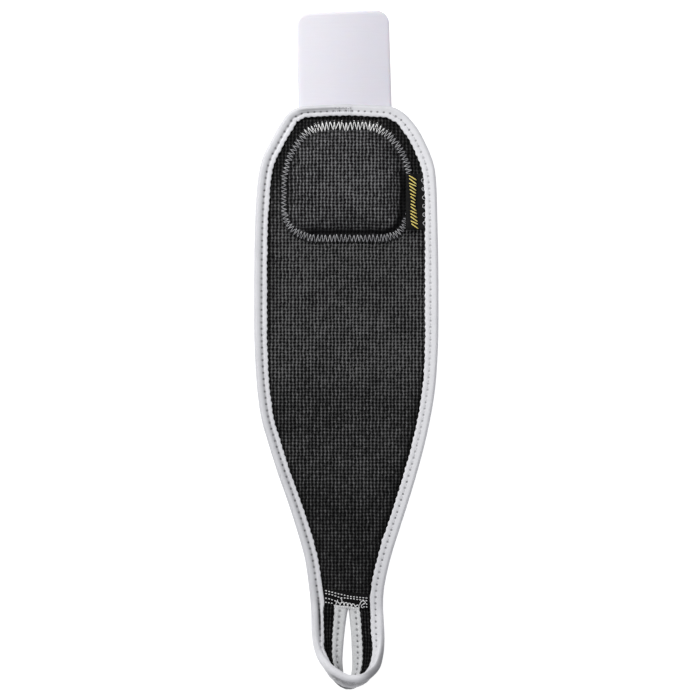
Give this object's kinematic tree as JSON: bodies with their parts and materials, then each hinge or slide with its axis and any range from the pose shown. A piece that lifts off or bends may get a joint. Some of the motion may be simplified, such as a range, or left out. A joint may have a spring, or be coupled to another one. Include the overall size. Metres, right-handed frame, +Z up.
{
  "type": "wrist guard",
  "caption": "Padded strap-on wrist guard laid out flat: a bound, tapered mesh panel with a stuffed pad, a hook tab at the wide end and a thumb loop at the narrow end.",
  "frame": {"origin": "on the surface that the guard lies on, under the middle of its footprint", "axes": "+Z up through the skin side, +Y along the guard towards the hook tab, +X to the right as one looks down on the skin side"},
  "size_m": [0.0924, 0.3402, 0.0173],
  "materials": {
    "black_mesh": "matte spacer mesh",
    "white_tape": "soft sheen binding tape",
    "silver_tape": "soft sheen binding tape",
    "black_tape": "smooth tape",
    "black_satin": "woven satin",
    "white_hook": "nylon hook tape"
  },
  "bodies": {
    "root": {"mesh_panel": "black_mesh", "edge_binding": "white_tape", "thumb_strap": "black_mesh", "slit_binding": "silver_tape", "seam_tape": "black_tape", "pad": "black_mesh", "label": "black_satin", "hook_tab": "white_hook"}
  },
  "joints": []
}
